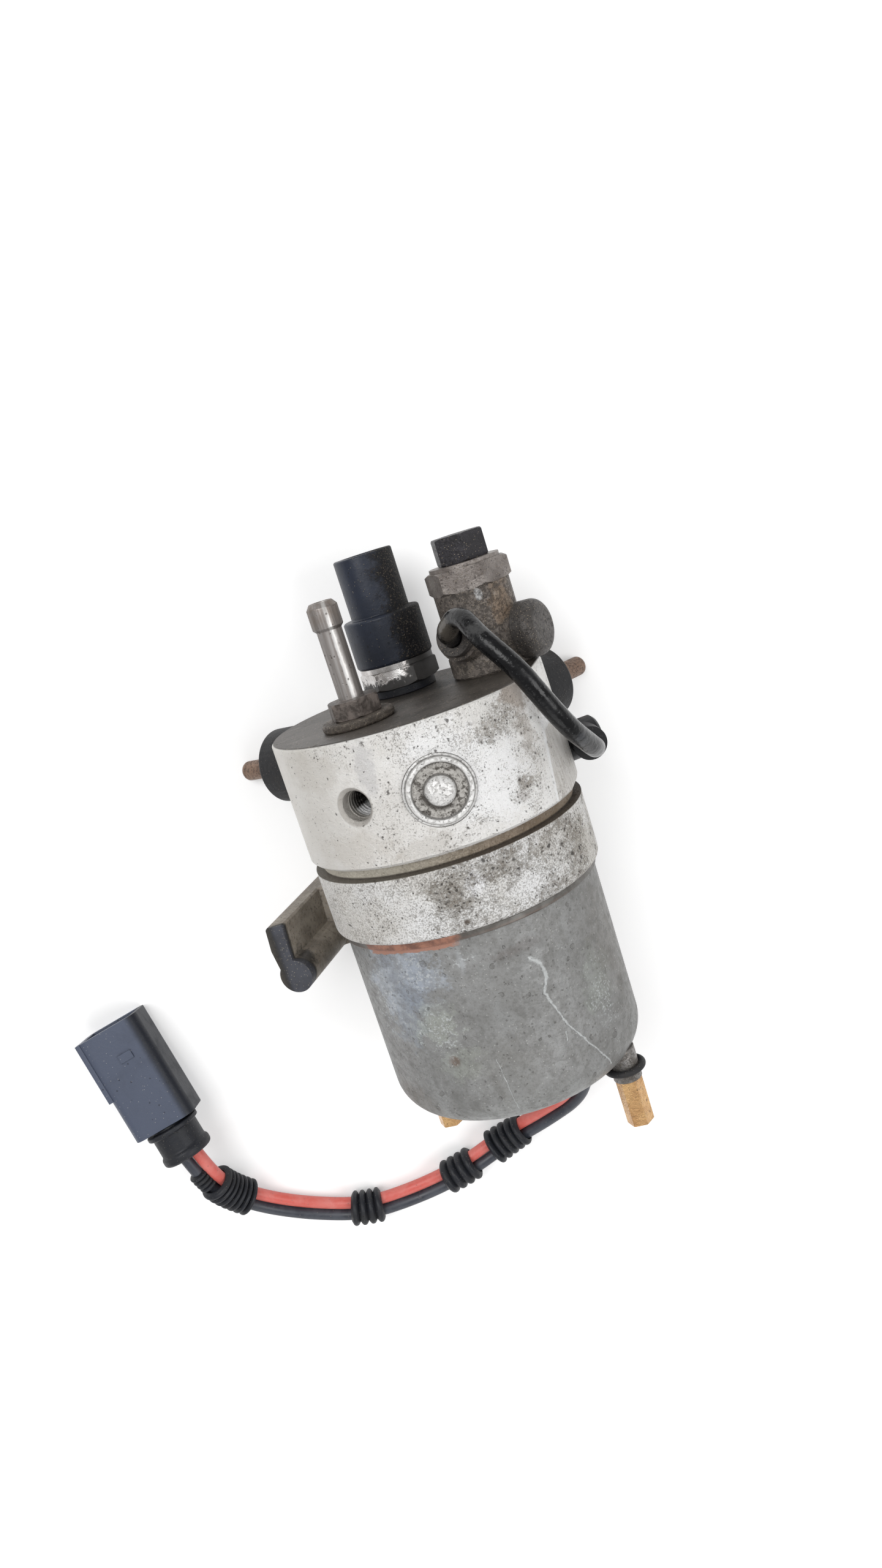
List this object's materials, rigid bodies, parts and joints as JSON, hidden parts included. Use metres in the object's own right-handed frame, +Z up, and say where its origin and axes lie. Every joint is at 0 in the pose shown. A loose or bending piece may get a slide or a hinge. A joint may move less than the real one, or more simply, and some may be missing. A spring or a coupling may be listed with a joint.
{
  "type": "electric auxiliary fluid pump",
  "caption": "Small electric pump: round alloy head with screw-in fittings and pipe, deep-drawn motor can, rubber mounts and a short two-wire lead with a connector.",
  "frame": {"origin": "on the pump's axis, at mid-height of the round head", "axes": "+Y along the pump axis from the motor to the fittings, +Z up with the pump lying on its studs and foot, +X to the right, away from the lead"},
  "size_m": [0.1561, 0.1756, 0.0716],
  "materials": {
    "head_alloy": "machined, pitted",
    "flange_alloy": "cast and turned, pitted",
    "can_steel": "grey zinc passivate, matt",
    "bare_steel": "plated, dulled",
    "tower_steel": "brown-grey, weathered",
    "bearing_steel": "polished",
    "copper": "copper colour, dull",
    "brass": "tarnished",
    "magnet": "matt",
    "carbon": "graphite",
    "black_rubber": "matt, dusty",
    "black_plastic": "satin, dusty",
    "pipe_black": "gloss",
    "connector_plastic": "satin, dusty",
    "red_cover": "satin",
    "dark_cover": "satin",
    "blade_metal": "tinned"
  },
  "bodies": {
    "pump": {"pump_head": "head_alloy", "motor_flange": "flange_alloy", "head_gasket": "black_rubber", "can_seal_ring": "copper", "motor_can": "can_steel", "field_magnets": "magnet", "brush_plate": "black_plastic", "brush_spring_upper": "bearing_steel", "brush_spring_lower": "bearing_steel", "bearing_outer_race": "bearing_steel", "shaft_seal": "black_rubber", "rear_bush": "brass", "through_bolts": "bare_steel", "bolt_bushes": "bare_steel", "bolt_seals": "black_rubber", "brass_nuts": "brass", "flange_screws": "bare_steel", "mount_buffers": "black_rubber", "buffer_inner_studs": "bare_steel", "buffer_outer_studs": "copper", "relief_spring": "bearing_steel", "valve_plug": "bare_steel", "nipple_washer": "tower_steel", "hose_nipple": "bare_steel", "switch_seal": "black_rubber", "switch_hex": "bare_steel", "switch_body": "black_plastic", "switch_pins": "blade_metal", "tower_body": "tower_steel", "check_spring": "bearing_steel", "tower_collar": "tower_steel", "cap_nut": "tower_steel", "side_plug": "tower_steel", "port_ring": "bare_steel", "pressure_pipe": "pipe_black", "pipe_elbow": "pipe_black", "rubber_foot": "black_rubber", "cable_gland": "black_rubber", "red_wire": "red_cover", "black_wire": "dark_cover", "sleeve_near_can": "black_rubber", "sleeve_middle": "black_rubber", "sleeve_far": "black_rubber", "connector_boot": "black_rubber", "connector_neck": "connector_plastic", "connector_housing": "connector_plastic", "connector_blades": "blade_metal"},
    "armature": {"armature_shaft": "bearing_steel", "armature_core": "bare_steel", "armature_winding": "copper", "commutator": "copper", "bearing_inner_race": "bearing_steel", "inner_rotor": "bare_steel"},
    "ring_rotor": {"outer_rotor": "bare_steel"},
    "bearing_cage": {"bearing_balls": "bearing_steel"},
    "poppet": {"relief_poppet": "bare_steel"},
    "ball": {"check_ball": "bearing_steel"},
    "upper_brush": {"brush_upper": "carbon"},
    "lower_brush": {"brush_lower": "carbon"}
  },
  "joints": [
    {"name": "armature_spin", "type": "hinge", "parent": "pump", "child": "armature", "pos_m": [0, -0.05, 0], "axis": [0, 1, 0], "continuous": true},
    {"name": "ring_rotor_spin", "type": "hinge", "parent": "pump", "child": "ring_rotor", "pos_m": [-0.0014, -0.0093, 0], "axis": [0, 1, 0], "continuous": true},
    {"name": "bearing_cage_spin", "type": "hinge", "parent": "pump", "child": "bearing_cage", "pos_m": [0, -0.024, 0], "axis": [0, 1, 0], "continuous": true},
    {"name": "relief_lift", "type": "slide", "parent": "pump", "child": "poppet", "axis": [0.0279, 0, 0.9996], "range_m": [0, 0.0025], "stiffness_N_per_m": 2000, "springref_m": -0.002, "deforming": ["relief_spring"]},
    {"name": "check_ball_lift", "type": "slide", "parent": "pump", "child": "ball", "axis": [0, 1, 0], "range_m": [0, 0.002], "stiffness_N_per_m": 100, "springref_m": -0.001, "deforming": ["check_spring"]},
    {"name": "upper_brush_slide", "type": "slide", "parent": "pump", "child": "upper_brush", "axis": [0, 0, 1], "range_m": [0, 0.003], "stiffness_N_per_m": 300, "springref_m": -0.005, "deforming": ["brush_spring_upper"]},
    {"name": "lower_brush_slide", "type": "slide", "parent": "pump", "child": "lower_brush", "axis": [0, 0, -1], "range_m": [0, 0.003], "stiffness_N_per_m": 300, "springref_m": -0.005, "deforming": ["brush_spring_lower"]}
  ],
  "couplings": [
    {"joint": "ring_rotor_spin", "follows": "armature_spin", "ratio": 0.8},
    {"joint": "bearing_cage_spin", "follows": "armature_spin", "ratio": 0.37333}
  ]
}
